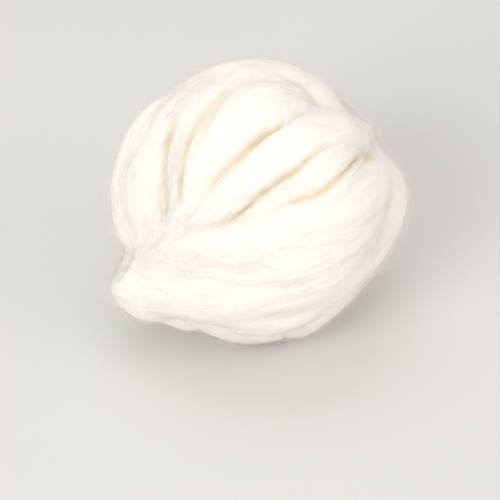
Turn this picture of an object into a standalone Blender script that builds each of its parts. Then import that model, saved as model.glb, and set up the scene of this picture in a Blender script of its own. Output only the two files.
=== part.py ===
"""A loosely wound ball of wool roving.

One length of roving is wound round itself in closed turns. Each turn lies on those below it,
sinks into them and dips where a higher one crosses it. The fan of thick strands at the front
runs together at the lower left. The ball is one solid: a fine sphere whose points are moved out
to the wound surface. It rests on a small flat spot, whose centre is the origin.
Metres, +Z up, the front towards -Y.
"""

from collections import namedtuple
from math import atan2, cos, degrees, pi, radians, sin

import bpy
import numpy as np

# Driving dimensions, in metres
CENTRE_HEIGHT = 0.110        # the ball's centre over what it rests on
CORE_RADIUS = 0.093          # the wool inside the turns that are laid here
ROVING_THICKNESS = 0.042     # of a strand, pressed against the ball
PLAIN_WIDTH = 0.046          # of a strand on the far side
COVERED_WIDTH = 0.048        # of a strand under the outer ones
MEAN_RADIUS = 0.110          # turns widths into angles seen from the centre
STEP_UP = 0.014              # a turn's outer side over the mean of what it lies on
KEPT_HEIGHT = 0.58           # share of the height below that is left when a turn has sunk in
CROSSING_STEP = 0.008        # least height of a turn over a lower one that it crosses
SLIMMEST = 0.85              # most thickness for its width, where a strand is pinched

# Shape of a strand's section: 2 is an ellipse, more is flatter on top
SECTION_POWER = 2.4
BEARING_SHARE = 0.75         # of a strand's width, which rests on what is below
PRESSED_SHARE = 1.3          # how fast the pressing of a crossing sets in from the edge

# How finely the turns and the ball are worked out
STEPS_BETWEEN_PLACES = 24
STEPS_IN_TURN = 240
STEP_BEHIND = 50             # degrees between the places that close a turn
EASE_BELOW = 9               # steps over which the height below a turn is evened out
EASE_TOP = 6                 # steps over which its own outer side is
EASE_DIP = 12                # steps over which it dips under another
GRID_ROWS = 90
SPHERE_SUBDIVISIONS = 7
SMOOTHING_ROUNDS = 3
TRIANGLES = 9600

CUTTER_SIZE = 0.4

WOOL_COLOUR = (0.90, 0.86, 0.76, 1.0)
WOOL_ROUGHNESS = 0.95

# Where a turn passes, seen from the ball's centre: degrees round from the front towards +X,
# degrees up, the strand's width there, and how far it is pressed in (less than 0: it stands out)
Place = namedtuple("Place", "azimuth elevation width sink")
# A ring turn lists its places all the way round. The others go on behind their last place
# on the circle through their first, middle and last one.
Turn = namedtuple("Turn", "name ring places")
# The turns that others cover, each by the azimuth and elevation of three places
Covered = namedtuple("Covered", "name first middle last")

COVERED_TURNS = (
    Covered("under_a", (0, -60), (90, -10), (170, 50)),
    Covered("under_b", (-120, -50), (-150, 10), (-175, 60)),
    Covered("under_c", (60, -50), (120, -20), (170, -30)),
    Covered("under_d", (-100, -10), (-130, 30), (150, 20)),
    Covered("under_e", (-60, -40), (-10, 0), (66, 28)),
    Covered("under_f", (-90, 10), (-60, 30), (0, 70)),
    Covered("under_g", (46, -20), (46, 30), (0, 80)),
    Covered("under_h", (76, 52), (140, 62), (-160, 45)),
)

# The outer turns, in the order in which they are laid
OUTER_TURNS = (
    Turn("keel", True, (
        Place(-67, -31, 0.040, -0.010), Place(-45, -40, 0.044, -0.002),
        Place(-5, -35, 0.046, 0), Place(25, -22, 0.046, 0), Place(45, -12, 0.042, 0),
        Place(80, 2, 0.046, 0), Place(120, 10, 0.046, 0), Place(165, 12, 0.046, 0),
        Place(-150, 8, 0.046, 0), Place(-110, -8, 0.046, 0), Place(-82, -22, 0.042, 0),
    )),
    Turn("far_left", True, (
        Place(-76, -20, 0.044, 0), Place(-86, -6, 0.050, -0.003), Place(-96, 8, 0.052, -0.004),
        Place(-110, 25, 0.048, -0.007), Place(-130, 42, 0.044, 0), Place(-170, 45, 0.044, 0.004),
        Place(165, 5, 0.046, 0), Place(160, -45, 0.046, 0), Place(-120, -65, 0.044, 0),
    )),
    Turn("left", False, (
        Place(-53, 0, 0.040, 0), Place(-62, 12, 0.056, -0.007), Place(-72, 27, 0.060, -0.008),
        Place(-92, 41, 0.050, -0.004), Place(-128, 54, 0.040, 0.002),
    )),
    Turn("inner_left", True, (
        Place(-42, 14, 0.020, 0.004), Place(-49, 33, 0.026, 0.001), Place(-63, 46, 0.034, 0),
        Place(-88, 58, 0.044, 0), Place(-120, 66, 0.056, 0.001), Place(-155, 60, 0.046, 0.006),
        Place(165, 30, 0.046, 0), Place(150, -15, 0.046, 0), Place(165, -55, 0.044, 0),
        Place(-90, -68, 0.040, 0.006), Place(-56, -42, 0.030, 0.018), Place(-48, -14, 0.024, 0.016),
    )),
    Turn("top", True, (
        Place(-136, 44, 0.046, 0.003), Place(-148, 62, 0.054, 0), Place(-174, 68, 0.052, -0.002),
        Place(154, 67, 0.048, -0.001), Place(126, 65, 0.046, 0), Place(96, 58, 0.040, 0.004),
        Place(76, 30, 0.040, 0.010), Place(60, -20, 0.044, 0.007), Place(20, -65, 0.044, 0.003),
        Place(-120, -75, 0.044, 0), Place(-138, -30, 0.046, 0), Place(-130, 10, 0.046, 0),
    )),
    Turn("base", False, (
        Place(-94, -44, 0.038, 0.008), Place(-70, -31, 0.042, -0.018),
        Place(-40, -19, 0.048, -0.004), Place(-4, -10, 0.056, 0), Place(24, -4, 0.056, 0),
        Place(44, 5, 0.046, 0), Place(63, 11, 0.036, 0.004), Place(104, 17, 0.040, 0.012),
    )),
    Turn("front", False, (
        Place(-72, -23, 0.036, 0.008), Place(-30, 3, 0.050, 0), Place(-2, 8, 0.058, 0),
        Place(28, 13, 0.058, 0), Place(67, 14, 0.040, 0.004),
    )),
    Turn("narrow", False, (
        Place(-73, -22, 0.026, 0.014), Place(-30, 15, 0.026, 0.006), Place(0, 32, 0.040, 0),
        Place(24, 38, 0.046, 0), Place(43, 42, 0.044, -0.001), Place(75, 38, 0.024, 0.006),
        Place(108, 20, 0.036, 0.012),
    )),
    Turn("lobe", False, (
        Place(-74, -21, 0.034, 0.014), Place(-31, 11, 0.044, 0.002), Place(-2, 19, 0.052, 0.001),
        Place(26, 24, 0.054, 0.001), Place(51, 27, 0.056, -0.001), Place(82, 20, 0.050, -0.003),
        Place(106, 8, 0.046, 0.006),
    )),
    Turn("right", True, (
        Place(88, 33, 0.036, 0.009), Place(81, 8, 0.056, -0.006), Place(66, -8, 0.056, -0.001),
        Place(50, -22, 0.054, 0.005), Place(36, -37, 0.046, 0.002), Place(40, -76, 0.054, -0.001),
        Place(-150, -50, 0.044, 0), Place(170, 0, 0.044, 0), Place(130, 35, 0.040, 0.012),
    )),
    Turn("shoulder", False, (
        Place(-63, -12, 0.026, 0.014), Place(-38, 17, 0.028, 0.006), Place(-24, 30, 0.036, 0),
        Place(-8, 44, 0.048, 0), Place(15, 55, 0.054, 0), Place(46, 60, 0.056, 0),
        Place(63, 56, 0.058, 0.001), Place(82, 46, 0.054, 0.001), Place(106, 32, 0.050, 0.005),
    )),
    Turn("crown", False, (
        Place(-64, -10, 0.026, 0.016), Place(-44, 14, 0.024, 0.006), Place(-38, 30, 0.028, 0),
        Place(-40, 46, 0.052, 0), Place(-38, 62, 0.072, -0.001), Place(-18, 80, 0.078, -0.002),
        Place(60, 81, 0.066, -0.001), Place(77, 73, 0.042, 0.003), Place(87, 63, 0.014, 0.014),
        Place(104, 46, 0.030, 0.014),
    )),
)


def towards(azimuth, elevation):
    """The unit vector that way from the ball's centre."""
    azimuth = radians(azimuth)
    elevation = radians(elevation)
    level = cos(elevation)
    return np.array((sin(azimuth) * level, -cos(azimuth) * level, sin(elevation)))


def unit(vectors):
    return vectors / np.linalg.norm(vectors, axis=-1, keepdims=True)


def rows_behind(first, middle, last):
    """Rows that close a turn on the circle through its first, middle and last direction."""
    axis = unit(np.cross(middle - first, last - first))
    offset = axis @ first
    along = middle - offset * axis
    radius = np.linalg.norm(along)
    along = along / radius
    aside = np.cross(axis, along)
    start = atan2(last @ aside, last @ along) % (2 * pi)
    end = atan2(first @ aside, first @ along) % (2 * pi)
    if end < start:
        aside = -aside
        start = 2 * pi - start
        end = 2 * pi - end
    count = max(1, round(degrees(end - start) / STEP_BEHIND) - 1)
    rows = []
    for angle in np.linspace(start, end, count + 2)[1:-1]:
        point = radius * (cos(angle) * along + sin(angle) * aside) + offset * axis
        rows.append((*point, PLAIN_WIDTH, 0.0))
    return rows


def turn_rows(turn):
    """A turn's places as rows of direction, width and sink, all the way round."""
    rows = []
    for place in turn.places:
        rows.append((*towards(place.azimuth, place.elevation), place.width, place.sink))
    if not turn.ring:
        first, middle, last = (np.array(rows[i][:3]) for i in (0, len(rows) // 2, -1))
        rows += rows_behind(first, middle, last)
    return np.array(rows)


def smooth_ring(rows):
    """A smooth closed curve through the rows, in even steps along its length."""
    before = np.roll(rows, 1, axis=0)
    after = np.roll(rows, -1, axis=0)
    run_in = np.linalg.norm((rows - before)[:, :3], axis=1)[:, None]
    run_out = np.linalg.norm((after - rows)[:, :3], axis=1)[:, None]
    rise_in = (rows - before) / run_in
    rise_out = (after - rows) / run_out
    slope = (rise_in * run_out + rise_out * run_in) / (run_in + run_out)
    # widths and sinks don't swing past their places
    lesser = np.sign(rise_in) * np.minimum(abs(rise_in), abs(rise_out))
    slope[:, 3:] = np.where(rise_in * rise_out > 0, lesser, 0)[:, 3:]
    t = (np.arange(STEPS_BETWEEN_PLACES) / STEPS_BETWEEN_PLACES)[None, :, None]
    leave = (slope * run_out)[:, None, :]
    arrive = (np.roll(slope, -1, axis=0) * run_out)[:, None, :]
    curve = (2 * t**3 - 3 * t**2 + 1) * rows[:, None, :] + (t**3 - 2 * t**2 + t) * leave
    curve = curve + (3 * t**2 - 2 * t**3) * after[:, None, :] + (t**3 - t**2) * arrive
    curve = curve.reshape(-1, rows.shape[1])
    curve[:, :3] = unit(curve[:, :3])
    closed = np.vstack((curve, curve[:1]))
    length = np.cumsum(np.linalg.norm(np.diff(closed[:, :3], axis=0), axis=1))
    length = np.concatenate(((0.0,), length))
    even = np.linspace(0, length[-1], STEPS_IN_TURN, endpoint=False)
    ring = np.stack([np.interp(even, length, column) for column in closed.T], axis=1)
    ring[:, :3] = unit(ring[:, :3])
    return ring


def eased(values, steps):
    """The values round a turn, each made the mean of those up to some steps away."""
    weights = np.hanning(2 * steps + 3)[1:-1]
    weights = weights / weights.sum()
    wrapped = np.concatenate((values[-steps:], values, values[:steps]))
    return np.convolve(wrapped, weights, mode="valid")


def section(across):
    """How high a strand's section is, from 1 in the middle to 0 at its edges."""
    return np.sqrt(np.maximum(0, 1 - across**SECTION_POWER))


class Strand:
    """One turn as it lies: at each step its direction, width, thickness and outer side."""

    def __init__(self, turn):
        ring = smooth_ring(turn_rows(turn))
        self.directions = ring[:, :3]
        self.width = ring[:, 3]
        self.sink = ring[:, 4]
        self.thickness = np.minimum(ROVING_THICKNESS, SLIMMEST * self.width)
        self.top = np.full(STEPS_IN_TURN, CORE_RADIUS)

    def nearest(self, directions):
        """The nearest step to each direction, and how far out that is: 1 at the strand's edge."""
        closeness = directions @ self.directions.T
        step = closeness.argmax(axis=1)
        angle = np.arccos(np.clip(closeness.max(axis=1), -1, 1))
        return step, angle * MEAN_RADIUS / (self.width[step] / 2)

    def raise_to_strand(self, directions, heights):
        """Raises the heights to the strand's outer side where it lies."""
        step, across = self.nearest(directions)
        outer = self.top[step] - self.thickness[step] / 2 * (1 - section(np.minimum(across, 1)))
        return np.where(across < 1, np.maximum(heights, outer), heights)

    def lay_on(self, directions, heights):
        """Sets the outer side a step over the mean of the heights below, partly sunk in."""
        step, across = self.nearest(directions)
        bearing = across < BEARING_SHARE
        count = np.bincount(step[bearing], minlength=STEPS_IN_TURN)
        total = np.bincount(step[bearing], weights=heights[bearing], minlength=STEPS_IN_TURN)
        known = np.flatnonzero(count)
        below = np.interp(np.arange(STEPS_IN_TURN), known, total[known] / count[known])
        kept = (eased(below, EASE_BELOW) - CORE_RADIUS) * KEPT_HEIGHT
        self.top = eased(CORE_RADIUS + kept + STEP_UP - self.sink, EASE_TOP)

    def dip(self, others):
        """The outer side, pressed down where a higher strand crosses."""
        lowered = self.top
        for other in others:
            if other is self:
                continue
            step, across = other.nearest(self.directions)
            share = np.clip(PRESSED_SHARE * (1 - across), 0, 1)
            crossed = (other.top[step] > self.top) & (share > 0)
            pressed = np.minimum(lowered, other.top[step] - CROSSING_STEP * share)
            lowered = np.where(crossed, pressed, lowered)
        return np.minimum(self.top, eased(lowered, EASE_DIP))


def grid_of_directions():
    """Directions in even rows and columns all round the ball."""
    elevation = (np.arange(GRID_ROWS) + 0.5) / GRID_ROWS * pi - pi / 2
    azimuth = (np.arange(2 * GRID_ROWS) + 0.5) / GRID_ROWS * pi
    elevation, azimuth = np.meshgrid(elevation, azimuth, indexing="ij")
    level = np.cos(elevation)
    axes = (np.sin(azimuth) * level, -np.cos(azimuth) * level, np.sin(elevation))
    return np.stack(axes, axis=-1).reshape(-1, 3)


def covered_turn(covered):
    places = []
    for azimuth, elevation in (covered.first, covered.middle, covered.last):
        places.append(Place(azimuth, elevation, COVERED_WIDTH, 0))
    return Turn(covered.name, False, tuple(places))


def wind():
    """Lays every turn on those before it, then presses down the lower one at each crossing."""
    strands = [Strand(covered_turn(row)) for row in COVERED_TURNS]
    strands += [Strand(turn) for turn in OUTER_TURNS]
    grid = grid_of_directions()
    heights = np.full(len(grid), CORE_RADIUS)
    for strand in strands:
        strand.lay_on(grid, heights)
        heights = strand.raise_to_strand(grid, heights)
    dipped = [strand.dip(strands) for strand in strands]
    for strand, top in zip(strands, dipped):
        strand.top = top
    return strands


def make_wool():
    wool = bpy.data.materials.new("undyed_wool")
    wool.use_nodes = True
    shader = wool.node_tree.nodes["Principled BSDF"]
    shader.inputs["Base Color"].default_value = WOOL_COLOUR
    shader.inputs["Roughness"].default_value = WOOL_ROUGHNESS
    return wool


def make_floor_cutter(collection):
    """A box under the floor, which leaves the flat spot."""
    bpy.ops.mesh.primitive_cube_add(size=CUTTER_SIZE, location=(0, 0, -CUTTER_SIZE / 2))
    cutter = bpy.context.object
    cutter.name = "floor_cutter"
    cutter.hide_render = True
    cutter.display_type = "WIRE"
    move_to(cutter, collection)
    return cutter


def make_ball(collection, strands, floor_cutter):
    """The wound ball: a fine sphere moved out to the strands, simplified and cut flat below."""
    bpy.ops.mesh.primitive_ico_sphere_add(subdivisions=SPHERE_SUBDIVISIONS, radius=1)
    ball = bpy.context.object
    ball.name = "roving_ball"
    move_to(ball, collection)
    points = ball.data.vertices
    directions = np.empty(len(points) * 3)
    points.foreach_get("co", directions)
    directions = unit(directions.reshape(-1, 3))
    heights = np.full(len(directions), CORE_RADIUS)
    for strand in strands:
        heights = strand.raise_to_strand(directions, heights)
    surface = directions * heights[:, None] + (0, 0, CENTRE_HEIGHT)
    points.foreach_set("co", surface.ravel())
    ball.data.update()
    ball.data.shade_smooth()

    soften = ball.modifiers.new("Soften", "SMOOTH")
    soften.iterations = SMOOTHING_ROUNDS
    simplify = ball.modifiers.new("Simplify", "DECIMATE")
    simplify.ratio = TRIANGLES / len(ball.data.polygons)
    flat_spot = ball.modifiers.new("Flat spot", "BOOLEAN")
    flat_spot.operation = "DIFFERENCE"
    flat_spot.solver = "EXACT"
    flat_spot.object = floor_cutter
    ball.data.materials.append(make_wool())


def new_collection(name):
    collection = bpy.data.collections.new(name)
    bpy.context.scene.collection.children.link(collection)
    return collection


def move_to(thing, collection):
    for holder in list(thing.users_collection):
        holder.objects.unlink(thing)
    collection.objects.link(thing)


def main():
    for thing in list(bpy.data.objects):
        bpy.data.objects.remove(thing)
    parts = new_collection("wool_roving")
    cutters = new_collection("cutters")
    make_ball(parts, wind(), make_floor_cutter(cutters))


main()
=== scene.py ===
"""Looks of a loosely wound ball of wool roving.

The outer form repeats the solid's: closed turns of thick roving, laid on each other, each with
its own places, widths and heights. Here every turn is a strand of its own, with lengthwise
pleats and fine ridges that draw together where the strand is pinched. Wool lies between the
strands and shows where they have felted together. Loose fibres lie along the strands, bridge
the creases and stand off a little. Metres, +Z up, front towards -Y.
"""

from collections import namedtuple
from math import atan2, cos, degrees, pi, radians, sin

import bpy
import numpy as np
from mathutils import Matrix, Vector


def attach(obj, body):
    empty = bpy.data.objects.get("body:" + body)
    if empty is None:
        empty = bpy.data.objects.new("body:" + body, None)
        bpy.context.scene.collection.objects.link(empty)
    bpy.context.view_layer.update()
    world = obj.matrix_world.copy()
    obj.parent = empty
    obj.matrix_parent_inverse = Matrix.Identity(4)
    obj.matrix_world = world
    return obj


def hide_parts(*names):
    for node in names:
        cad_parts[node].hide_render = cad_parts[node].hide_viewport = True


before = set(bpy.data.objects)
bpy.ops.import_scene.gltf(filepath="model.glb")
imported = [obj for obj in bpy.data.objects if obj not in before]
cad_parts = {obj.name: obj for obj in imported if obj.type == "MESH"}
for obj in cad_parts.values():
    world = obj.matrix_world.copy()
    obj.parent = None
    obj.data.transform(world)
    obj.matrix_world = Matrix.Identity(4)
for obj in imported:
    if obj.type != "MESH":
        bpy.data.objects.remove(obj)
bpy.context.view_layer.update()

# ---------------------------------------------------------------- the wound form, as in the solid

CENTRE_HEIGHT = 0.110        # the ball's centre over what it rests on
CORE_RADIUS = 0.093          # the wool inside the turns that are laid here
ROVING_THICKNESS = 0.042     # of a strand, pressed against the ball
PLAIN_WIDTH = 0.046          # of a strand on the far side
COVERED_WIDTH = 0.048        # of a strand under the outer ones
MEAN_RADIUS = 0.110          # turns widths into angles seen from the centre
STEP_UP = 0.014              # a turn's outer side over the mean of what it lies on
KEPT_HEIGHT = 0.58           # share of the height below that is left when a turn has sunk in
CROSSING_STEP = 0.008        # least height of a turn over a lower one that it crosses
SLIMMEST = 0.85              # most thickness for its width, where a strand is pinched
SECTION_POWER = 2.4          # of a strand's section: 2 is an ellipse, more is flatter on top
BEARING_SHARE = 0.75         # of a strand's width, which rests on what is below
PRESSED_SHARE = 1.3          # how fast the pressing of a crossing sets in from the edge
STEPS_BETWEEN_PLACES = 24
STEPS_IN_TURN = 240
STEP_BEHIND = 50             # degrees between the places that close a turn
EASE_BELOW = 9               # steps over which the height below a turn is evened out
EASE_TOP = 6                 # steps over which its own outer side is
EASE_DIP = 12                # steps over which it dips under another
GRID_ROWS = 90

# Where a turn passes, seen from the ball's centre: degrees round from the front towards +X,
# degrees up, the strand's width there, and how far it is pressed in (less than 0: it stands
# out). A ring turn lists such places all the way round. The others go on behind their last
# place on the circle through their first, middle and last one.
Turn = namedtuple("Turn", "name ring places")
# The turns that others cover, each by the azimuth and elevation of three places
Covered = namedtuple("Covered", "name first middle last")

COVERED_TURNS = (
    Covered("under_a", (0, -60), (90, -10), (170, 50)),
    Covered("under_b", (-120, -50), (-150, 10), (-175, 60)),
    Covered("under_c", (60, -50), (120, -20), (170, -30)),
    Covered("under_d", (-100, -10), (-130, 30), (150, 20)),
    Covered("under_e", (-60, -40), (-10, 0), (66, 28)),
    Covered("under_f", (-90, 10), (-60, 30), (0, 70)),
    Covered("under_g", (46, -20), (46, 30), (0, 80)),
    Covered("under_h", (76, 52), (140, 62), (-160, 45)),
)

# The outer turns, in the order in which they are laid
OUTER_TURNS = (
    Turn("keel", True, (
        (-67, -31, 0.040, -0.010), (-45, -40, 0.044, -0.002), (-5, -35, 0.046, 0),
        (25, -22, 0.046, 0), (45, -12, 0.042, 0), (80, 2, 0.046, 0), (120, 10, 0.046, 0),
        (165, 12, 0.046, 0), (-150, 8, 0.046, 0), (-110, -8, 0.046, 0), (-82, -22, 0.042, 0),
    )),
    Turn("far_left", True, (
        (-76, -20, 0.044, 0), (-86, -6, 0.050, -0.003), (-96, 8, 0.052, -0.004),
        (-110, 25, 0.048, -0.007), (-130, 42, 0.044, 0), (-170, 45, 0.044, 0.004),
        (165, 5, 0.046, 0), (160, -45, 0.046, 0), (-120, -65, 0.044, 0),
    )),
    Turn("left", False, (
        (-53, 0, 0.040, 0), (-62, 12, 0.056, -0.007), (-72, 27, 0.060, -0.008),
        (-92, 41, 0.050, -0.004), (-128, 54, 0.040, 0.002),
    )),
    Turn("inner_left", True, (
        (-42, 14, 0.020, 0.004), (-49, 33, 0.026, 0.001), (-63, 46, 0.034, 0),
        (-88, 58, 0.044, 0), (-120, 66, 0.056, 0.001), (-155, 60, 0.046, 0.006),
        (165, 30, 0.046, 0), (150, -15, 0.046, 0), (165, -55, 0.044, 0), (-90, -68, 0.040, 0.006),
        (-56, -42, 0.030, 0.018), (-48, -14, 0.024, 0.016),
    )),
    Turn("top", True, (
        (-136, 44, 0.046, 0.003), (-148, 62, 0.054, 0), (-174, 68, 0.052, -0.002),
        (154, 67, 0.048, -0.001), (126, 65, 0.046, 0), (96, 58, 0.040, 0.004),
        (76, 30, 0.040, 0.010), (60, -20, 0.044, 0.007), (20, -65, 0.044, 0.003),
        (-120, -75, 0.044, 0), (-138, -30, 0.046, 0), (-130, 10, 0.046, 0),
    )),
    Turn("base", False, (
        (-94, -44, 0.038, 0.008), (-70, -31, 0.042, -0.018), (-40, -19, 0.048, -0.004),
        (-4, -10, 0.056, 0), (24, -4, 0.056, 0), (44, 5, 0.046, 0), (63, 11, 0.036, 0.004),
        (104, 17, 0.040, 0.012),
    )),
    Turn("front", False, (
        (-72, -23, 0.036, 0.008), (-30, 3, 0.050, 0), (-2, 8, 0.058, 0), (28, 13, 0.058, 0),
        (67, 14, 0.040, 0.004),
    )),
    Turn("narrow", False, (
        (-73, -22, 0.026, 0.014), (-30, 15, 0.026, 0.006), (0, 32, 0.040, 0), (24, 38, 0.046, 0),
        (43, 42, 0.044, -0.001), (75, 38, 0.024, 0.006), (108, 20, 0.036, 0.012),
    )),
    Turn("lobe", False, (
        (-74, -21, 0.034, 0.014), (-31, 11, 0.044, 0.002), (-2, 19, 0.052, 0.001),
        (26, 24, 0.054, 0.001), (51, 27, 0.056, -0.001), (82, 20, 0.050, -0.003),
        (106, 8, 0.046, 0.006),
    )),
    Turn("right", True, (
        (88, 33, 0.036, 0.009), (81, 8, 0.056, -0.006), (66, -8, 0.056, -0.001),
        (50, -22, 0.054, 0.005), (36, -37, 0.046, 0.002), (40, -76, 0.054, -0.001),
        (-150, -50, 0.044, 0), (170, 0, 0.044, 0), (130, 35, 0.040, 0.012),
    )),
    Turn("shoulder", False, (
        (-63, -12, 0.026, 0.014), (-38, 17, 0.028, 0.006), (-24, 30, 0.036, 0),
        (-8, 44, 0.048, 0), (15, 55, 0.054, 0), (46, 60, 0.056, 0), (63, 56, 0.058, 0.001),
        (82, 46, 0.054, 0.001), (106, 32, 0.050, 0.005),
    )),
    Turn("crown", False, (
        (-64, -10, 0.026, 0.016), (-44, 14, 0.024, 0.006), (-38, 30, 0.028, 0),
        (-40, 46, 0.052, 0), (-38, 62, 0.072, -0.001), (-18, 80, 0.078, -0.002),
        (60, 81, 0.066, -0.001), (77, 73, 0.042, 0.003), (87, 63, 0.014, 0.014),
        (104, 46, 0.030, 0.014),
    )),
)


def towards(azimuth, elevation):
    """The unit vector that way from the ball's centre."""
    azimuth = radians(azimuth)
    elevation = radians(elevation)
    level = cos(elevation)
    return np.array((sin(azimuth) * level, -cos(azimuth) * level, sin(elevation)))


def unit(vectors):
    return vectors / np.linalg.norm(vectors, axis=-1, keepdims=True)


def rows_behind(first, middle, last):
    """Rows that close a turn on the circle through its first, middle and last direction."""
    axis = unit(np.cross(middle - first, last - first))
    offset = axis @ first
    along = middle - offset * axis
    radius = np.linalg.norm(along)
    along = along / radius
    aside = np.cross(axis, along)
    start = atan2(last @ aside, last @ along) % (2 * pi)
    end = atan2(first @ aside, first @ along) % (2 * pi)
    if end < start:
        aside = -aside
        start = 2 * pi - start
        end = 2 * pi - end
    count = max(1, round(degrees(end - start) / STEP_BEHIND) - 1)
    rows = []
    for angle in np.linspace(start, end, count + 2)[1:-1]:
        point = radius * (cos(angle) * along + sin(angle) * aside) + offset * axis
        rows.append((*point, PLAIN_WIDTH, 0.0))
    return rows


def turn_rows(turn):
    """A turn's places as rows of direction, width and sink, all the way round."""
    rows = []
    for azimuth, elevation, width, sink in turn.places:
        rows.append((*towards(azimuth, elevation), width, sink))
    if not turn.ring:
        first, middle, last = (np.array(rows[i][:3]) for i in (0, len(rows) // 2, -1))
        rows += rows_behind(first, middle, last)
    return np.array(rows)


def smooth_ring(rows):
    """A smooth closed curve through the rows, in even steps along its length."""
    before = np.roll(rows, 1, axis=0)
    after = np.roll(rows, -1, axis=0)
    run_in = np.linalg.norm((rows - before)[:, :3], axis=1)[:, None]
    run_out = np.linalg.norm((after - rows)[:, :3], axis=1)[:, None]
    rise_in = (rows - before) / run_in
    rise_out = (after - rows) / run_out
    slope = (rise_in * run_out + rise_out * run_in) / (run_in + run_out)
    # widths and sinks don't swing past their places
    lesser = np.sign(rise_in) * np.minimum(abs(rise_in), abs(rise_out))
    slope[:, 3:] = np.where(rise_in * rise_out > 0, lesser, 0)[:, 3:]
    t = (np.arange(STEPS_BETWEEN_PLACES) / STEPS_BETWEEN_PLACES)[None, :, None]
    leave = (slope * run_out)[:, None, :]
    arrive = (np.roll(slope, -1, axis=0) * run_out)[:, None, :]
    curve = (2 * t**3 - 3 * t**2 + 1) * rows[:, None, :] + (t**3 - 2 * t**2 + t) * leave
    curve = curve + (3 * t**2 - 2 * t**3) * after[:, None, :] + (t**3 - t**2) * arrive
    curve = curve.reshape(-1, rows.shape[1])
    curve[:, :3] = unit(curve[:, :3])
    closed = np.vstack((curve, curve[:1]))
    length = np.cumsum(np.linalg.norm(np.diff(closed[:, :3], axis=0), axis=1))
    length = np.concatenate(((0.0,), length))
    even = np.linspace(0, length[-1], STEPS_IN_TURN, endpoint=False)
    ring = np.stack([np.interp(even, length, column) for column in closed.T], axis=1)
    ring[:, :3] = unit(ring[:, :3])
    return ring


def eased(values, steps):
    """The values round a turn, each made the mean of those up to some steps away."""
    weights = np.hanning(2 * steps + 3)[1:-1]
    weights = weights / weights.sum()
    wrapped = np.concatenate((values[-steps:], values, values[:steps]))
    return np.convolve(wrapped, weights, mode="valid")


def section(across):
    """How high a strand's section is, from 1 in the middle to 0 at its edges."""
    return np.sqrt(np.maximum(0, 1 - across**SECTION_POWER))


class Strand:
    """One turn as it lies: at each step its direction, width, thickness and outer side."""

    def __init__(self, turn):
        ring = smooth_ring(turn_rows(turn))
        self.name = turn.name
        self.directions = ring[:, :3]
        self.width = ring[:, 3]
        self.sink = ring[:, 4]
        self.thickness = np.minimum(ROVING_THICKNESS, SLIMMEST * self.width)
        self.top = np.full(STEPS_IN_TURN, CORE_RADIUS)
        ahead = np.roll(self.directions, -1, axis=0)
        self.heading = unit(ahead - np.roll(self.directions, 1, axis=0))
        self.aside = np.cross(self.heading, self.directions)

    def nearest(self, directions):
        """The nearest step to each direction, and how far out that is: 1 at the strand's edge."""
        closeness = directions @ self.directions.T
        step = closeness.argmax(axis=1)
        angle = np.arccos(np.clip(closeness.max(axis=1), -1, 1))
        return step, angle * MEAN_RADIUS / (self.width[step] / 2)

    def raise_to_strand(self, directions, heights):
        """Raises the heights to the strand's outer side where it lies."""
        step, across = self.nearest(directions)
        outer = self.top[step] - self.thickness[step] / 2 * (1 - section(np.minimum(across, 1)))
        return np.where(across < 1, np.maximum(heights, outer), heights)

    def lay_on(self, directions, heights):
        """Sets the outer side a step over the mean of the heights below, partly sunk in."""
        step, across = self.nearest(directions)
        bearing = across < BEARING_SHARE
        count = np.bincount(step[bearing], minlength=STEPS_IN_TURN)
        total = np.bincount(step[bearing], weights=heights[bearing], minlength=STEPS_IN_TURN)
        known = np.flatnonzero(count)
        below = np.interp(np.arange(STEPS_IN_TURN), known, total[known] / count[known])
        kept = (eased(below, EASE_BELOW) - CORE_RADIUS) * KEPT_HEIGHT
        self.top = eased(CORE_RADIUS + kept + STEP_UP - self.sink, EASE_TOP)

    def dip(self, others):
        """The outer side, pressed down where a higher strand crosses."""
        lowered = self.top
        for other in others:
            if other is self:
                continue
            step, across = other.nearest(self.directions)
            share = np.clip(PRESSED_SHARE * (1 - across), 0, 1)
            crossed = (other.top[step] > self.top) & (share > 0)
            pressed = np.minimum(lowered, other.top[step] - CROSSING_STEP * share)
            lowered = np.where(crossed, pressed, lowered)
        return np.minimum(self.top, eased(lowered, EASE_DIP))


def grid_of_directions(rows):
    """Directions in even rows and columns all round the ball."""
    elevation = (np.arange(rows) + 0.5) / rows * pi - pi / 2
    azimuth = (np.arange(2 * rows) + 0.5) / rows * pi
    elevation, azimuth = np.meshgrid(elevation, azimuth, indexing="ij")
    level = np.cos(elevation)
    axes = (np.sin(azimuth) * level, -np.cos(azimuth) * level, np.sin(elevation))
    return np.stack(axes, axis=-1).reshape(-1, 3)


def covered_turn(covered):
    places = []
    for azimuth, elevation in (covered.first, covered.middle, covered.last):
        places.append((azimuth, elevation, COVERED_WIDTH, 0))
    return Turn(covered.name, False, places)


def wind():
    """Lays every turn on those before it, then presses down the lower one at each crossing."""
    strands = [Strand(covered_turn(row)) for row in COVERED_TURNS]
    strands += [Strand(turn) for turn in OUTER_TURNS]
    grid = grid_of_directions(GRID_ROWS)
    heights = np.full(len(grid), CORE_RADIUS)
    for strand in strands:
        strand.lay_on(grid, heights)
        heights = strand.raise_to_strand(grid, heights)
    dipped = [strand.dip(strands) for strand in strands]
    for strand, top in zip(strands, dipped):
        strand.top = top
    return strands


def outer_heights(directions, strands):
    """How far out the wound surface of these strands lies, in each direction."""
    heights = np.full(len(directions), CORE_RADIUS)
    for strand in strands:
        heights = strand.raise_to_strand(directions, heights)
    return heights


# ---------------------------------------------------------------- the soft skin and what shows

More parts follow.
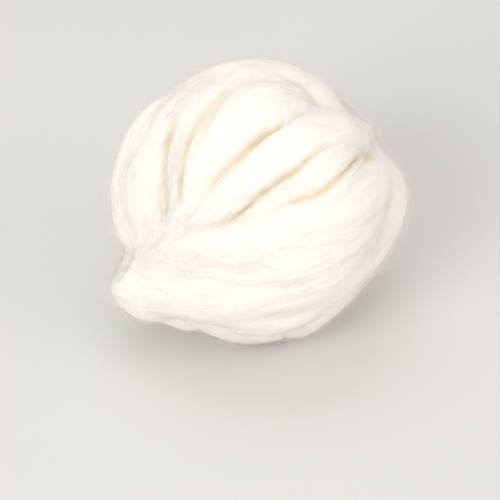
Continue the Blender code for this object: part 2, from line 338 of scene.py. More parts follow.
ACROSS_SAMPLES = np.linspace(-0.9, 0.9, 9)     # places across a strand, whose edges are -1 and 1
SHOWN_MARGIN = 0.004         # a spot this far under another strand still counts as shown
SKIN_ROWS = 240
SKIN_REACH = 0.0032          # over which strands run softly into each other
WIDE_REACH = 0.009           # over which creases are evened out
FELTED_REACH = 0.013         # over which they are where strands have felted together
FILLED_REACH = 0.017         # half the width of the hollows that are filled there
FILLED_EASE = 0.006          # over which that filling is evened out
MEAN_ROWS = 45
MEAN_SPREAD = 0.16           # radians over which the whole form is
# Samples round a spot, for the mean over a reach: how far off, in reaches, and how many
RINGS_OF_SAMPLES = ((0.7, 6), (1.4, 10), (2.2, 14))


def spots_across(strand):
    """Directions and outer heights at the samples across each step, as step x sample."""
    angle = ACROSS_SAMPLES[None, :] * strand.width[:, None] / 2 / MEAN_RADIUS
    directions = np.cos(angle)[..., None] * strand.directions[:, None, :]
    directions = directions + np.sin(angle)[..., None] * strand.aside[:, None, :]
    drop = strand.thickness[:, None] / 2 * (1 - section(abs(ACROSS_SAMPLES)))[None, :]
    return directions, strand.top[:, None] - drop


def find_shown(strands):
    """Marks on each strand which of its samples show."""
    for strand in strands:
        directions, heights = spots_across(strand)
        others = [other for other in strands if other is not strand]
        around = outer_heights(directions.reshape(-1, 3), others).reshape(heights.shape)
        strand.shown = heights > around - SHOWN_MARGIN


class Field:
    """Heights in even rows and columns of directions, read anywhere between them."""

    def __init__(self, rows, heights):
        self.rows = rows
        self.heights = heights.reshape(rows, 2 * rows)

    def at(self, directions):
        flat = directions.reshape(-1, 3)
        row = (np.arcsin(np.clip(flat[:, 2], -1, 1)) / pi + 0.5) * self.rows - 0.5
        column = np.arctan2(flat[:, 0], -flat[:, 1]) / pi * self.rows - 0.5
        row = np.clip(row, 0, self.rows - 1)
        low = np.minimum(np.floor(row).astype(int), self.rows - 2)
        left = np.floor(column).astype(int)
        up = row - low
        over = column - left
        left = left % (2 * self.rows)
        right = (left + 1) % (2 * self.rows)
        below = self.heights[low, left] * (1 - over) + self.heights[low, right] * over
        above = self.heights[low + 1, left] * (1 - over) + self.heights[low + 1, right] * over
        return (below * (1 - up) + above * up).reshape(directions.shape[:-1])

    def around(self, reach):
        """The heights at each sample round every spot, with the sample's weight in a mean."""
        grid = grid_of_directions(self.rows)
        side = unit(np.cross(grid, (0, 0, 1)))
        upward = np.cross(side, grid)
        for distance, count in RINGS_OF_SAMPLES:
            weight = distance * np.exp(-(distance**2) / 2) / count
            for angle in np.arange(count) * 2 * pi / count:
                aside = cos(angle) * side + sin(angle) * upward
                yield weight, self.at(unit(grid + aside * distance * reach / MEAN_RADIUS))

    def evened(self, reach):
        """The field with each height made a weighted mean of those within a reach."""
        weights = (RINGS_OF_SAMPLES[0][0] / 2) ** 2
        total = self.heights.ravel() * weights
        for weight, heights in self.around(reach):
            total = total + weight * heights
            weights += weight
        return Field(self.rows, total / weights)

    def filled(self, reach):
        """The field with hollows that are narrower than twice the reach filled to their brim."""
        reach = reach / RINGS_OF_SAMPLES[-1][0]
        raised = self.heights.ravel()
        for _, heights in self.around(reach):
            raised = np.maximum(raised, heights)
        lowered = raised
        for _, heights in Field(self.rows, raised).around(reach):
            lowered = np.minimum(lowered, heights)
        return Field(self.rows, lowered)


Fields = namedtuple("Fields", "skin wide felted mean")


def make_fields(strands):
    """The soft skin, one more even, one with its hollows filled, and the form without strands."""
    wound = Field(SKIN_ROWS, outer_heights(grid_of_directions(SKIN_ROWS), strands))
    grid = grid_of_directions(MEAN_ROWS)
    level = np.sqrt(np.maximum(0, 1 - grid[:, 2] ** 2))
    weights = np.exp((grid @ grid.T - 1) / MEAN_SPREAD**2) * level[None, :]
    mean = weights @ outer_heights(grid, strands) / weights.sum(axis=1)
    mean = Field(MEAN_ROWS, mean)
    filled = wound.filled(FILLED_REACH).evened(FILLED_EASE)
    felted = np.maximum(filled.heights, wound.evened(FELTED_REACH).heights)
    felted = Field(SKIN_ROWS, felted)
    return Fields(wound.evened(SKIN_REACH), wound.evened(WIDE_REACH), felted, mean)


# ---------------------------------------------------------------- the strands' pleats

# Waves over a strand's surface, which close round it and along it: how many there are around and
# along it, and how high they are, in metres
Wave = namedtuple("Wave", "around along height")
LUMPS = (Wave(5, 14, 0.0014), Wave(9, 20, 0.0006))
RIDGES = (Wave(34, 14, 0.00032), Wave(60, 20, 0.00018))
# Furrows run where a wave passes zero, and are narrow
Furrow = namedtuple("Furrow", "around along depth narrowness")
FURROWS = (Furrow(8, 6, 0.0020, 0.20), Furrow(15, 8, 0.0012, 0.24), Furrow(27, 11, 0.0006, 0.30))
FURROW_CHANGE = Wave(3, 11, 0.5)     # how a furrow's depth changes, as a share of it
WANDER = Wave(1, 7, 0.045)   # how all of them go from side to side, as a share of the way round
# What is added to a strand's seed for the random draws of each kind of wave
WAVE_SEED = 10
FURROW_SEED = 30
CHANGE_SEED = 50

# Pleats that show from the front, with the azimuth and elevation of places along each. The nips
# are short and narrow: there two strands close a crease between them.
Pleat = namedtuple("Pleat", "name depth width places")
PLEATS = (
    Pleat("left_outer", 0.0048, 0.0044, ((-100, 51), (-79, 48), (-65, 41), (-54, 31), (-46, 21))),
    Pleat("left_inner", 0.0044, 0.0040, ((-60, 55), (-54, 47), (-44, 35), (-40, 25))),
    Pleat("crown_left", 0.0030, 0.0055, ((-72, 69), (-65, 61), (-59, 54), (-48, 42))),
    Pleat("crown_middle", 0.0026, 0.0060, ((-121, 79), (-78, 74), (-60, 66), (-40, 50))),
    Pleat("shoulder_upper", 0.0058, 0.0038, (
        (81, 67), (55, 68), (29, 68), (5, 65), (-8, 60), (-20, 51), (-28, 40),
    )),
    Pleat("top_inner", 0.0034, 0.0042, ((171, 77), (125, 75), (100, 71), (83, 66))),
    Pleat("shoulder_lower", 0.0054, 0.0036, (
        (59, 49), (38, 52), (24, 48), (15, 46), (3, 41), (-5, 35), (-13, 28), (-24, 22),
    )),
    Pleat("lobe_upper", 0.0060, 0.0044, (
        (80, 35), (62, 40), (50, 40), (35, 37), (26, 35), (10, 33),
    )),
    Pleat("right_inner", 0.0020, 0.0070, (
        (75, 19), (69, 13), (60, 9), (50, 3), (43, -6), (42, -19),
    )),
    Pleat("base_upper", 0.0030, 0.0070, ((-39, -8), (-24, 0), (-8, 0), (10, -1), (23, 1))),
    Pleat("front_upper", 0.0024, 0.0050, ((-46, 15), (-36, 19), (-24, 24), (-10, 28))),
    Pleat("gathered", 0.0018, 0.0080, ((-72, -12), (-62, -4), (-54, 2), (-47, 10), (-43, 16))),
    Pleat("left_nip", 0.0078, 0.0026, ((-86, 49), (-76, 46), (-65, 41), (-58, 35))),
    Pleat("inner_nip", 0.0072, 0.0024, ((-47, 39), (-43, 33), (-41, 27))),
    Pleat("shoulder_nip", 0.0086, 0.0028, ((38, 68), (20, 67), (5, 65), (-6, 61))),
    Pleat("lower_nip", 0.0066, 0.0024, ((1, 39), (-5, 35), (-10, 31), (-16, 26))),
    Pleat("lobe_nip", 0.0086, 0.0028, ((68, 39), (58, 40), (46, 39), (35, 37))),
)
LINE_STEPS = 40              # in a line through such places
PLEAT_CORE = 0.35            # width of a pleat's sharper middle, as a share of its width
CORE_SHARE = 0.35            # of its depth that the sharper middle takes
PLEAT_FADE = 0.7             # how it runs out at its ends: less is more suddenly

# Where strands have felted together, so that the crease between them is filled and soft: by how
# much, and how far to each side of the line
Soft = namedtuple("Soft", "name share width places")
SOFT_PLACES = (
    Soft("left_edge", 0.85, 0.016, (
        (-110, 40), (-103, 36), (-96, 30), (-90, 25), (-85, 19), (-80, 12), (-75, 5), (-68, 0),
    )),
    Soft("left_top", 0.9, 0.014, ((-131, 42), (-134, 46), (-119, 61))),
    Soft("top_edge", 0.9, 0.014, ((-119, 61), (-125, 68), (-130, 73), (-160, 75), (180, 75))),
    Soft("gather", 1.0, 0.013, ((-67, -7), (-61, -2), (-54, -1), (-48, 5), (-43, 12), (-40, 17))),
    Soft("base_edge", 0.9, 0.012, (
        (-62, -14), (-58, -13), (-49, -10), (-40, -6), (-32, -3), (-24, -1), (-15, 0),
    )),
    Soft("base_side", 0.85, 0.011, (
        (-15, 0), (-9, -1), (-2, -1), (6, 0), (13, 1), (22, 2), (29, 2),
    )),
    Soft("right_edge", 0.75, 0.012, (
        (60, 9), (54, 7), (50, 2), (45, -3), (37, -7), (30, -10), (21, -12),
    )),
    Soft("keel_end", 1.0, 0.013, ((-24, -22), (-17, -25), (-10, -28), (-2, -29))),
    Soft("crown_end", 0.9, 0.010, ((30, 71), (49, 71), (63, 70))),
    Soft("crown_side", 0.65, 0.010, ((176, 77), (147, 76), (130, 76), (114, 75), (100, 73))),
)

# Where the strands that are gathered together bulge out further, and where they are pulled in
# (less than 0)
Swell = namedtuple("Swell", "name height width places")
SWELLS = (
    Swell("gathered_end", 0.0080, 0.012, ((-75, -22), (-69, -22), (-64, -20))),
    Swell("gathered_under", 0.0075, 0.015, ((-67, -31), (-56, -36), (-46, -42))),
    Swell("gathered_waist", -0.0045, 0.008, ((-90, -20), (-83, -18), (-76, -16), (-70, -14))),
)
FILLING_EASE = 0.001         # how gently the filling of a crease sets in

RING_START = radians(-28)    # the outer side of a strand's section goes from here
RING_END = radians(208)      # to here, and gets most of the points
OUTER_SEGMENTS = 60
INNER_SEGMENTS = 7
INNER_GAP = 0.001            # from the skin to a strand's inner side
UNDER_SLOPE = 1.6            # how fast a strand sinks away under another
RELIEF_REACH = 0.0012        # how far under another its own relief goes on
FELTED_SINK = 0.0012         # how far a strand sinks away where it is felted with others
SINKS_WHERE = (0.4, 0.8)     # how felted the wool is where that sets in, and where it is all of it
STRAND_SEED = 100            # between the random draws of one strand and the next
HIDDEN_STRIDE = 5            # steps between the rows of points where a strand is covered
FORM_DEPTH = 0.016           # under the whole form, over which the painted crease shade builds up
HOLLOW_DEPTH = 0.007         # under the surface round a crease, where the painted crease shade is strongest
FORM_SHARE = 0.5             # how much the first of these counts beside the second
FLOOR_GAP = 0.0004           # between the floor and the lowest points of strands and fibres
FLOOR_STEP = 0.00004         # between the heights at which two strands touch the floor


def rise(values, low, high):
    """From 0 at the low value to 1 at the high one, gently at both ends."""
    share = np.clip((values - low) / (high - low), 0, 1)
    return share * share * (3 - 2 * share)


def bell(values, width):
    """1 at 0, falling off gently to both sides over the width."""
    return np.exp(-(values / width) ** 2)


def cyclic_noise(seed, wave, around, along):
    """Smooth noise, -1 to 1, that closes round and along a strand, at places from 0 to 1."""
    values = np.random.default_rng(seed).uniform(-1, 1, (wave.around, wave.along))
    x = around * wave.around
    y = along * wave.along
    i = np.floor(x).astype(int)
    j = np.floor(y).astype(int)
    u = rise(x - i, 0, 1)
    v = rise(y - j, 0, 1)
    rows = []
    for row in (j % wave.along, (j + 1) % wave.along):
        near = values[i % wave.around, row]
        rows.append(near * (1 - u) + values[(i + 1) % wave.around, row] * u)
    return rows[0] * (1 - v) + rows[1] * v


def off_line(directions, places):
    """How far each direction is off the line through the places, and how far along it, 0 to 1."""
    corners = np.array([towards(*place) for place in places])
    at = np.linspace(0, len(corners) - 1, LINE_STEPS)
    line = [np.interp(at, np.arange(len(corners)), column) for column in corners.T]
    closeness = directions @ unit(np.stack(line, axis=1)).T
    distance = np.arccos(np.clip(closeness.max(axis=1), -1, 1)) * MEAN_RADIUS
    return distance, (closeness.argmax(axis=1) + 0.5) / LINE_STEPS


def pleat_depths(directions):
    """How deep the front's own pleats are at each direction."""
    depths = np.zeros(len(directions))
    for pleat in PLEATS:
        distance, along = off_line(directions, pleat.places)
        fade = np.sin(pi * along) ** PLEAT_FADE
        off = distance / pleat.width
        across = (1 - CORE_SHARE) * bell(off, 1) + CORE_SHARE * bell(off, PLEAT_CORE)
        depths = np.maximum(depths, pleat.depth * fade * across)
    return depths


def swell_heights(directions):
    """How far the skin bulges out over the wound form at each direction."""
    heights = np.zeros(len(directions))
    for swell in SWELLS:
        distance, _ = off_line(directions, swell.places)
        heights = heights + swell.height * bell(distance, swell.width)
    return heights


def felted_shares(directions):
    """How far strands have felted together at each direction, from 0 to 1."""
    shares = np.zeros(len(directions))
    for soft in SOFT_PLACES:
        distance, _ = off_line(directions, soft.places)
        shares = np.maximum(shares, soft.share * bell(distance, soft.width))
    return shares


def skin_heights(directions, fields):
    """The skin as it shows, filled where strands are felted together, and how far they are."""
    flat = directions.reshape(-1, 3)
    skin = fields.skin.at(flat)
    felted = felted_shares(flat)
    hollow = fields.felted.at(flat) - skin
    filling = (hollow + np.sqrt(hollow**2 + FILLING_EASE**2)) / 2
    skin = skin + felted * filling + swell_heights(flat) - pleat_depths(flat)
    shape = directions.shape[:-1]
    return skin.reshape(shape), felted.reshape(shape)


def relief(seed, around, along):
    """How far a strand's surface stands out or in, at places from 0 to 1 round and along it."""
    around = around + WANDER.height * cyclic_noise(seed, WANDER, around * 0, along)
    height = np.zeros(around.shape)
    for number, wave in enumerate(LUMPS + RIDGES):
        noise = cyclic_noise(seed + WAVE_SEED + number, wave, around, along)
        height = height + wave.height * noise
    for number, furrow in enumerate(FURROWS):
        noise = cyclic_noise(seed + FURROW_SEED + number, furrow, around, along)
        change = cyclic_noise(seed + CHANGE_SEED + number, FURROW_CHANGE, around, along)
        share = 1 - FURROW_CHANGE.height + FURROW_CHANGE.height * change
        height = height - furrow.depth * share * bell(noise, furrow.narrowness)
    return height


def ring_angles():
    """The angles of the points round a strand's section."""
    outer = np.linspace(RING_START, RING_END, OUTER_SEGMENTS + 1)[:-1]
    inner = np.linspace(RING_END, RING_START + 2 * pi, INNER_SEGMENTS + 1)[:-1]
    return np.concatenate((outer, inner))


def signed_power(values):
    """Sines or cosines, made those of the section's flatter ellipse."""
    return np.sign(values) * abs(values) ** (2 / SECTION_POWER)


def strand_points(strand, strands, rows, seed, fields):
    """Points over some of the strand's steps as row x ring: its outer side on the skin."""
    others = [other for other in strands if other is not strand]
    angles = ring_angles()
    across = signed_power(np.cos(angles))[None, :] * strand.width[rows, None] / 2 / MEAN_RADIUS
    thickness = strand.thickness[rows, None]
    radius = strand.top[rows, None] - thickness / 2 * (1 - signed_power(np.sin(angles))[None, :])
    aim = np.cos(across)[..., None] * strand.directions[rows, None, :]
    aim = aim + np.sin(across)[..., None] * strand.aside[rows, None, :]
    around = outer_heights(aim.reshape(-1, 3), others).reshape(radius.shape)
    under = np.maximum(0, around - radius)
    places = (rows / STEPS_IN_TURN, angles / (2 * pi) % 1)
    places_along, places_around = np.meshgrid(*places, indexing="ij")
    pinch = np.minimum(1, strand.width[rows] / PLAIN_WIDTH)[:, None]
    surface, felted = skin_heights(aim, fields)
    own = relief(seed, places_around, places_along) * pinch * np.exp(-under / RELIEF_REACH)
    outer = surface - UNDER_SLOPE * under + (1 - felted) * own
    outer = outer - FELTED_SINK * rise(felted, *SINKS_WHERE)
    inner = np.minimum(radius, outer - INNER_GAP)
    radius = np.where(np.sin(angles)[None, :] >= 0, outer, inner)
    return aim * radius[..., None]


def strand_rows(strand):
    """The steps that get a row of points: all where the strand shows, few where it doesn't."""
    shows = strand.shown.any(axis=1)
    shows = shows | np.roll(shows, 1) | np.roll(shows, -1)
    return np.flatnonzero(shows | (np.arange(STEPS_IN_TURN) % HIDDEN_STRIDE == 0))


def add_uv(mesh, loop_uv):
    layer = mesh.uv_layers.new(name="fibre")
    layer.uv.foreach_set("vector", loop_uv.astype(np.float32).ravel())


def add_depth(mesh, depth):
    attribute = mesh.attributes.new("depth", "FLOAT", "POINT")
    attribute.data.foreach_set("value", depth.astype(np.float32))


def crease_shade_mask(flat, fields):
    """How deep in a crease each point lies, from 0 to 1: how much painted shade it gets."""
    distance = np.linalg.norm(flat, axis=1)
    aim = flat / distance[:, None]
    depth = (fields.mean.at(aim) - distance) / FORM_DEPTH
    hollow = (fields.wide.at(aim) - distance) / HOLLOW_DEPTH
    return np.clip(FORM_SHARE * np.maximum(0, depth) + np.maximum(0, hollow), 0, 1)


def add_object(name, data):
    added = bpy.data.objects.new(name, data)
    bpy.context.scene.collection.objects.link(added)
    return added


def finish_piece(name, points, faces, material):
    """A piece of the ball with these points, and faces as a list."""
    mesh = bpy.data.meshes.new(name)
    mesh.from_pydata(points.tolist(), [], faces)
    mesh.update()
    mesh.shade_smooth()
    mesh.materials.append(material)
    piece = add_object(name, mesh)
    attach(piece, "root")
    return piece


def strand_faces(rows, ring_count):
    """Quads between the rows and round the ring, with where each corner is along the fibres."""
    girth = PLAIN_WIDTH + ROVING_THICKNESS
    angles = np.append(ring_angles(), RING_START + 2 * pi)
    steps = np.append(rows, rows[0] + STEPS_IN_TURN)
    row, ring = np.meshgrid(np.arange(len(rows)), np.arange(ring_count), indexing="ij")
    faces = []
    fibre_map = []
    for down, over in ((1, 0), (1, 1), (0, 1), (0, 0)):
        faces.append((row + down) % len(rows) * ring_count + (ring + over) % ring_count)
        u = angles[ring + over] / 2 * girth
        v = steps[row + down] * (2 * pi * MEAN_RADIUS / STEPS_IN_TURN)
        fibre_map.append(np.stack((u, v), axis=-1))
    return np.stack(faces, axis=-1).reshape(-1, 4), np.stack(fibre_map, axis=2).reshape(-1, 2)


def make_strand(number, strands, fields, material):
    strand = strands[number]
    rows = strand_rows(strand)
    points = strand_points(strand, strands, rows, STRAND_SEED * (number + 1), fields)
    faces, fibre_map = strand_faces(rows, points.shape[1])
    flat = points.reshape(-1, 3)
    placed = flat + (0, 0, CENTRE_HEIGHT)
    placed[:, 2] = np.maximum(placed[:, 2], FLOOR_GAP + FLOOR_STEP * number)
    piece = finish_piece("strand_" + strand.name, placed, faces.tolist(), material)
    add_uv(piece.data, fibre_map + (0, number))
    add_depth(piece.data, crease_shade_mask(flat, fields))


# ---------------------------------------------------------------- the wool between the strands

FILLING_SUBDIVISIONS = 7
FILLING_GAP = 0.0030         # under the skin
FELTED_GAP = 0.0005          # under it where strands are felted together
GAP_CLOSES = (0, 0.5)        # how felted the wool is where the one gap starts to become the other
FILLING_FLOOR = 0.0016       # least height over what the ball rests on


def add_fibre_map(mesh, directions):
    """Runs the fibres' map round and up the ball, without a jump where the way round closes."""
    while mesh.uv_layers:
        mesh.uv_layers.remove(mesh.uv_layers[0])
    corners = np.empty(len(mesh.loops), int)
    mesh.loops.foreach_get("vertex_index", corners)
    around = np.arctan2(directions[:, 0], directions[:, 1])[corners].reshape(-1, 3)
    over_seam = np.ptp(around, axis=1, keepdims=True) > pi
    around = np.where(over_seam & (around < 0), around + 2 * pi, around).ravel()
    upward = np.arcsin(np.clip(directions[:, 2], -1, 1))[corners]
    add_uv(mesh, np.stack((around, upward), axis=1) * MEAN_RADIUS)


def make_filling(fields, material):
    """Wool that closes the gaps between the strands, and shows where they are felted."""
    bpy.ops.mesh.primitive_ico_sphere_add(subdivisions=FILLING_SUBDIVISIONS, radius=1)
    filling = bpy.context.object
    filling.name = "wool_between"
    mesh = filling.data
    points = np.empty(len(mesh.vertices) * 3)
    mesh.vertices.foreach_get("co", points)
    directions = unit(points.reshape(-1, 3))
    surface, felted = skin_heights(directions, fields)
    height = surface - FILLING_GAP + (FILLING_GAP - FELTED_GAP) * rise(felted, *GAP_CLOSES)
    flat = directions * height[:, None]
    placed = flat + (0, 0, CENTRE_HEIGHT)
    placed[:, 2] = np.maximum(placed[:, 2], FILLING_FLOOR)
    mesh.vertices.foreach_set("co", placed.ravel())
    mesh.update()
    mesh.shade_smooth()
    mesh.materials.append(material)
    add_fibre_map(mesh, directions)
    add_depth(mesh, crease_shade_mask(flat, fields))
    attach(filling, "root")
    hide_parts("roving_ball")


# ---------------------------------------------------------------- loose fibres

# One kind of loose fibres: how many, how long, in how many points, how thick, by how many degrees
# they swing off the strand's heading, how far their tips stand off, and how far they curl
Loose = namedtuple("Loose", "name count length points radius swing lift curl")
LOOSE_FIBRES = (
    Loose("fibres_lying", 3000, 0.030, 7, 0.00008, 12, 0.0010, 0.0006),
    Loose("fibres_bridging", 2600, 0.026, 8, 0.00008, 45, 0.0020, 0.0012),
    Loose("fibres_standing", 3300, 0.022, 10, 0.00006, 40, 0.0070, 0.0024),
)
# Tufts of fibres that stand out: where each is, how wide it is and how many fibres it has
Tuft = namedtuple("Tuft", "azimuth elevation spread count")
TUFTS = (
    Tuft(124, 36, 0.010, 70), Tuft(105, 19, 0.008, 50), Tuft(77, -16, 0.016, 80),
    Tuft(-73, -24, 0.020, 240), Tuft(-87, -4, 0.024, 110), Tuft(180, 52, 0.030, 70),
)
TUFTED = sum(tuft.count for tuft in TUFTS)
TUFT_FIBRES = Loose("fibre_tufts", TUFTED, 0.019, 11, 0.00007, 55, 0.0085, 0.0032)
LENGTHS = (0.5, 1.3)         # least and most of a fibre's length, as shares of its kind's
LIFTS = (0.2, 1.3)           # and of how far its tip stands off
HUMPS = (0.0, 0.5)           # and of how far its middle does
WAVES = (0.6, 2.2)           # along a fibre
BOW = 2.5                    # how far a fibre bends as a whole, in curls
FIBRE_GAP = 0.0003           # from the skin to a fibre
THIN_END = 0.35              # a fibre's radius at its very ends, as a share of that in its middle
TAPER_ENDS = 0.08            # share of its length by which its taper is cut off at each end
FIBRE_SIDES = 3
SMOOTHING_PASSES = 3         # over a fibre's heights, so that it bridges the creases
FIBRE_SEED = 900
TUFT_SEED = 990


def shown_spots(strands):
    """Every sample that shows: its direction, and the strand's heading and side there."""
    spots = []
    for strand in strands:
        directions, _ = spots_across(strand)
        step, sample = np.nonzero(strand.shown)
        columns = (directions[step, sample], strand.heading[step], strand.aside[step])
        spots.append(np.concatenate(columns, axis=1))
    return np.concatenate(spots)


def tuft_spots(spots, rng):
    """A root for each of the tufts' fibres, among the samples that show near it."""
    chosen = []
    for tuft in TUFTS:
        angle = np.arccos(np.clip(spots[:, :3] @ towards(tuft.azimuth, tuft.elevation), -1, 1))
        near = spots[angle * MEAN_RADIUS < tuft.spread]
        chosen.append(near[rng.integers(0, len(near), tuft.count)])
    return np.concatenate(chosen)


def fibre_directions(loose, chosen, share, rng):
    """Directions along each loose fibre at these shares of its length, as fibre x point."""
    count = len(chosen)
    start = chosen[:, :3]
    turn = np.radians(rng.normal(0, loose.swing, count))[:, None]
    way = rng.choice((-1, 1), count)[:, None]
    heading = way * (np.cos(turn) * chosen[:, 3:6] + np.sin(turn) * chosen[:, 6:9])
    side = np.cross(heading, start)
    share = share[None, :, None]
    length = (loose.length * rng.uniform(*LENGTHS, count))[:, None, None]
    phase = rng.uniform(0, 2 * pi, count)[:, None, None]
    waves = rng.uniform(*WAVES, count)[:, None, None]
    bow = rng.normal(0, BOW, count)[:, None, None] * loose.curl
    curl = loose.curl * (np.sin(2 * pi * waves * share + phase) - np.sin(phase)) + bow * share**2
    directions = start[:, None, :] + heading[:, None, :] * share * length / MEAN_RADIUS
    return unit(directions + side[:, None, :] * curl / MEAN_RADIUS)


def fibre_lines(loose, chosen, fields, rng):
    """The points along each loose fibre, as fibre x point: it lies on the skin or stands off."""
    count = len(chosen)
    share = np.linspace(0, 1, loose.points)
    directions = fibre_directions(loose, chosen, share, rng)
    surface, _ = skin_heights(directions, fields)
    height = surface.copy()
    for _ in range(SMOOTHING_PASSES):
        height[:, 1:-1] = (height[:, :-2] + 2 * height[:, 1:-1] + height[:, 2:]) / 4
        height = np.maximum(height, surface)
    lift = loose.lift * rng.uniform(*LIFTS, count)[:, None] * share**2
    hump = loose.lift * rng.uniform(*HUMPS, count)[:, None] * np.sin(pi * share)
    height = height + FIBRE_GAP + lift + hump
    lines = directions * height[..., None] + (0, 0, CENTRE_HEIGHT)
    lines[..., 2] = np.maximum(lines[..., 2], FLOOR_GAP)
    return lines


def tube_faces(count, points):
    """Quads round each fibre, and a three-sided cap at each of its ends."""
    root = np.arange(count) * points * FIBRE_SIDES
    here = root[:, None, None] + (np.arange(points - 1) * FIBRE_SIDES)[None, :, None]
    corner = np.arange(FIBRE_SIDES)[None, None, :]
    after = (corner + 1) % FIBRE_SIDES
    ahead = here + FIBRE_SIDES
    quads = np.stack((here + corner, here + after, ahead + after, ahead + corner), axis=-1)
    tip = root + (points - 1) * FIBRE_SIDES
    caps = np.concatenate((root[:, None] + (2, 1, 0), tip[:, None] + (0, 1, 2)))
    return quads.reshape(-1, 4).tolist() + caps.tolist()


def make_fibres(loose, roots, fields, rng, material):
    """Thin three-sided tubes along the fibres' lines, all of one kind in one piece."""
    lines = fibre_lines(loose, roots, fields, rng)
    count, points = lines.shape[:2]
    forward = unit(np.gradient(lines, axis=1))
    outward = unit(lines - (0, 0, CENTRE_HEIGHT))
    side = unit(np.cross(forward, outward))
    outward = np.cross(side, forward)
    taper = np.sin(pi * np.linspace(TAPER_ENDS, 1 - TAPER_ENDS, points))
    radius = loose.radius * (THIN_END + (1 - THIN_END) * taper)
    angle = (np.arange(FIBRE_SIDES) * 2 * pi / FIBRE_SIDES)[:, None]
    ring = np.cos(angle) * side[:, :, None, :] + np.sin(angle) * outward[:, :, None, :]
    tubes = lines[:, :, None, :] + radius[None, :, None, None] * ring
    finish_piece(loose.name, tubes.reshape(-1, 3), tube_faces(count, points), material)


# ---------------------------------------------------------------- materials

LIGHT_CREAM = (0.955, 0.935, 0.893, 1)
CREAM = (0.935, 0.902, 0.838, 1)
# painted warm shade, mixed into the wool's colour where it lies deep in a crease
PAINTED_CREASE_SHADE = (0.84, 0.72, 0.52, 1)
FLOOR_COLOUR = (0.74, 0.735, 0.72, 1)
FLOOR_SHADE = 0.985          # of the floor's darker patches

# A noise's scale, detail and roughness. Those of the strands have a scale across, along and
# through the strand, and the others one in space.
STREAKS = ((420, 16, 1), 3, 0.6)
FINE_STREAKS = ((2600, 70, 1), 2, 0.7)
CLOUDS = ((28, 28, 28), 3, 0.5)
FIBRE_TONES = ((300, 300, 300), 2, 0.5)
FLOOR_PATCHES = ((3, 3, 3), 2, 0.5)
# How high a bump's noise stands, in metres, and how much of it shows
STREAK_BUMP = (0.0006, 0.5)
FINE_BUMP = (0.00025, 0.6)


def grey(value):
    return (value, value, value, 1)


class Nodes:
    """A material's nodes, added and linked by short calls."""

    def __init__(self, name):
        self.material = bpy.data.materials.new(name)
        self.material.use_nodes = True
        self.tree = self.material.node_tree
        self.shader = self.tree.nodes["Principled BSDF"]

    def join(self, value, socket):
        if isinstance(value, bpy.types.NodeSocket):
            self.tree.links.new(value, socket)
        else:
            socket.default_value = value

    def feed(self, node, **inputs):
        """Gives a node's inputs their values or links, with _ for the spaces in their names."""
        for name, value in inputs.items():
            self.join(value, node.inputs[name.replace("_", " ")])

    def add(self, kind, **inputs):
        node = self.tree.nodes.new("ShaderNode" + kind)
        self.feed(node, **inputs)
        return node

    def noise(self, coordinates, scale, detail, roughness):
        place = self.add("Mapping", Vector=coordinates, Scale=scale).outputs[0]
        noise = self.add("TexNoise", Vector=place, Scale=1.0, Detail=detail, Roughness=roughness)
        return noise.outputs[0]

    def ramp(self, value, *stops):
        ramp = self.add("ValToRGB", Fac=value)
        for element, (position, colour) in zip(ramp.color_ramp.elements, stops):
            element.position = position
            element.color = colour
        return ramp.outputs[0]

    def mix(self, amount, first, second):
        mix = self.add("Mix")
        mix.data_type = "RGBA"
        sockets = {socket.identifier: socket for socket in mix.inputs}
        self.join(amount, sockets["Factor_Float"])
        self.join(first, sockets["A_Color"])
        self.join(second, sockets["B_Color"])
        return next(s for s in mix.outputs if s.identifier == "Result_Color")

    def bump(self, height, distance, strength, **normal):
        bump = self.add("Bump", Height=height, Distance=distance, Strength=strength, **normal)
        return bump.outputs[0]


def make_wool():
    """Combed wool: streaks and fine fibres along the strand, with painted warm shade in the
    creases.
    """
    wool = Nodes("combed_wool")
    fibre_map = wool.add("UVMap")
    fibre_map.uv_map = "fibre"
    streaks = wool.noise(fibre_map.outputs[0], *STREAKS)
    fibres = wool.noise(fibre_map.outputs[0], *FINE_STREAKS)
    clouds = wool.noise(wool.add("TexCoord").outputs["Object"], *CLOUDS)
    streaked = wool.ramp(streaks, (0.32, CREAM), (0.62, LIGHT_CREAM))
    cloudy = wool.ramp(clouds, (0.42, grey(0)), (0.68, grey(0.5)))
    depth = wool.add("Attribute")
    depth.attribute_name = "depth"
    # painted crease shade: how much of the warm shade goes in, by how deep the point lies
    painted_shade_share = wool.ramp(depth.outputs["Fac"], (0.25, grey(0)), (1.0, grey(0.8)))
    wool.feed(
        wool.shader,
        Base_Color=wool.mix(painted_shade_share, wool.mix(cloudy, streaked, CREAM), PAINTED_CREASE_SHADE),
        Roughness=wool.ramp(fibres, (0.3, grey(0.82)), (0.7, grey(0.98))),
        Normal=wool.bump(fibres, *FINE_BUMP, Normal=wool.bump(streaks, *STREAK_BUMP)),
        Specular_IOR_Level=0.15,
        Sheen_Weight=0.35,
        Sheen_Roughness=0.6,
        Sheen_Tint=(1.0, 0.97, 0.90, 1),
        Subsurface_Weight=0.15,
        Subsurface_Radius=(1.0, 0.95, 0.9),
        Subsurface_Scale=0.002,
    )
    return wool.material


def make_loose_wool():
    """Single fibres: pale, a little see-through to light."""
    wool = Nodes("loose_wool")
    tone = wool.noise(wool.add("TexCoord").outputs["Object"], *FIBRE_TONES)
    wool.feed(
        wool.shader,
        Base_Color=wool.ramp(tone, (0.35, CREAM), (0.65, LIGHT_CREAM)),
        Roughness=0.7,
        Specular_IOR_Level=0.3,
        Sheen_Weight=0.2,
        Subsurface_Weight=1.0,
        Subsurface_Radius=(1.0, 1.0, 0.95),
        Subsurface_Scale=0.0004,
    )
    return wool.material


# ---------------------------------------------------------------- camera, floor and light

CAMERA_LENS = 129.6          # mm, as is the sensor
SENSOR = 36
CAMERA_PITCH = radians(37.7) # below the horizon
CAMERA_BACK = 1.484          # from the ball's centre, against the view
CAMERA_RIGHT = -0.00825      # and across it
CAMERA_UP = -0.0396

FLOOR_SIZE = 40
WORLD_COLOUR = (1.0, 0.965, 0.945, 1)
WORLD_STRENGTH = 0.66

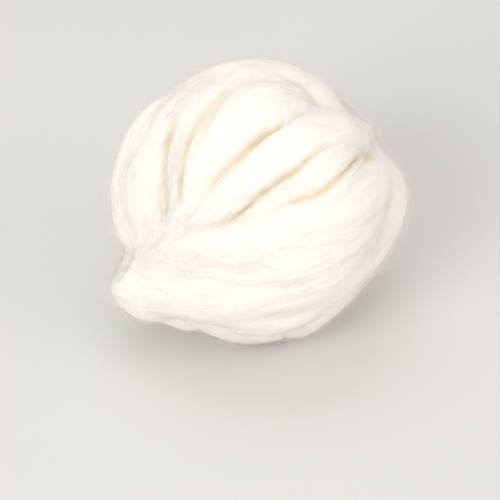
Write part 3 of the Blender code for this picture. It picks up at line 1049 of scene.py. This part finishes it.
# Round soft lamps, turned to the ball's centre
Lamp = namedtuple("Lamp", "name place size power colour")
LAMPS = (
    Lamp("key", (-2.0, -3.1, 2.3), 2.2, 82, (1.0, 0.99, 0.98)),
    Lamp("top", (-0.3, 1.0, 3.4), 2.6, 20, (1.0, 0.97, 0.95)),
    Lamp("right_fill", (2.9, -1.4, 1.1), 2.6, 28, (1.0, 0.93, 0.90)),
)


def add_camera():
    forward = Vector((0, cos(CAMERA_PITCH), -sin(CAMERA_PITCH)))
    up = Vector((0, sin(CAMERA_PITCH), cos(CAMERA_PITCH)))
    right = Vector((1, 0, 0))
    data = bpy.data.cameras.new("camera")
    data.lens = CAMERA_LENS
    data.sensor_width = SENSOR
    camera = add_object("camera", data)
    centre = Vector((0, 0, CENTRE_HEIGHT))
    place = centre + CAMERA_RIGHT * right + CAMERA_UP * up - CAMERA_BACK * forward
    turned = Matrix((right, up, -forward)).transposed().to_4x4()
    camera.matrix_world = Matrix.Translation(place) @ turned
    bpy.context.scene.camera = camera


def add_floor():
    bpy.ops.mesh.primitive_plane_add(size=FLOOR_SIZE)
    floor = bpy.context.object
    floor.name = "floor"
    paint = Nodes("pale_floor")
    patches = paint.noise(paint.add("TexCoord").outputs["Object"], *FLOOR_PATCHES)
    shade = tuple(FLOOR_SHADE * c for c in FLOOR_COLOUR[:3]) + (1,)
    colour = paint.ramp(patches, (0.3, shade), (0.7, FLOOR_COLOUR))
    paint.feed(paint.shader, Base_Color=colour, Roughness=0.85, Specular_IOR_Level=0.2)
    floor.data.materials.append(paint.material)


def add_lamps():
    for lamp in LAMPS:
        data = bpy.data.lights.new(lamp.name, "AREA")
        data.shape = "DISK"
        data.size = lamp.size
        data.energy = lamp.power
        data.color = lamp.colour
        light = add_object(lamp.name, data)
        light.location = lamp.place
        aim = Vector((0, 0, CENTRE_HEIGHT)) - Vector(lamp.place)
        light.rotation_euler = aim.to_track_quat("-Z", "Y").to_euler()
    world = bpy.data.worlds.new("pale_room")
    world.use_nodes = True
    background = world.node_tree.nodes["Background"]
    background.inputs["Color"].default_value = WORLD_COLOUR
    background.inputs["Strength"].default_value = WORLD_STRENGTH
    bpy.context.scene.world = world
    bpy.context.scene.view_settings.view_transform = "Standard"


add_camera()
add_floor()
add_lamps()
combed_wool = make_wool()
loose_wool = make_loose_wool()
all_strands = wind()
find_shown(all_strands)
fields = make_fields(all_strands)
make_filling(fields, combed_wool)
for number in range(len(all_strands)):
    make_strand(number, all_strands, fields, combed_wool)
spots = shown_spots(all_strands)
for number, loose in enumerate(LOOSE_FIBRES):
    rng = np.random.default_rng(FIBRE_SEED + number)
    roots = spots[rng.integers(0, len(spots), loose.count)]
    make_fibres(loose, roots, fields, rng, loose_wool)
rng = np.random.default_rng(TUFT_SEED)
make_fibres(TUFT_FIBRES, tuft_spots(spots, rng), fields, rng, loose_wool)
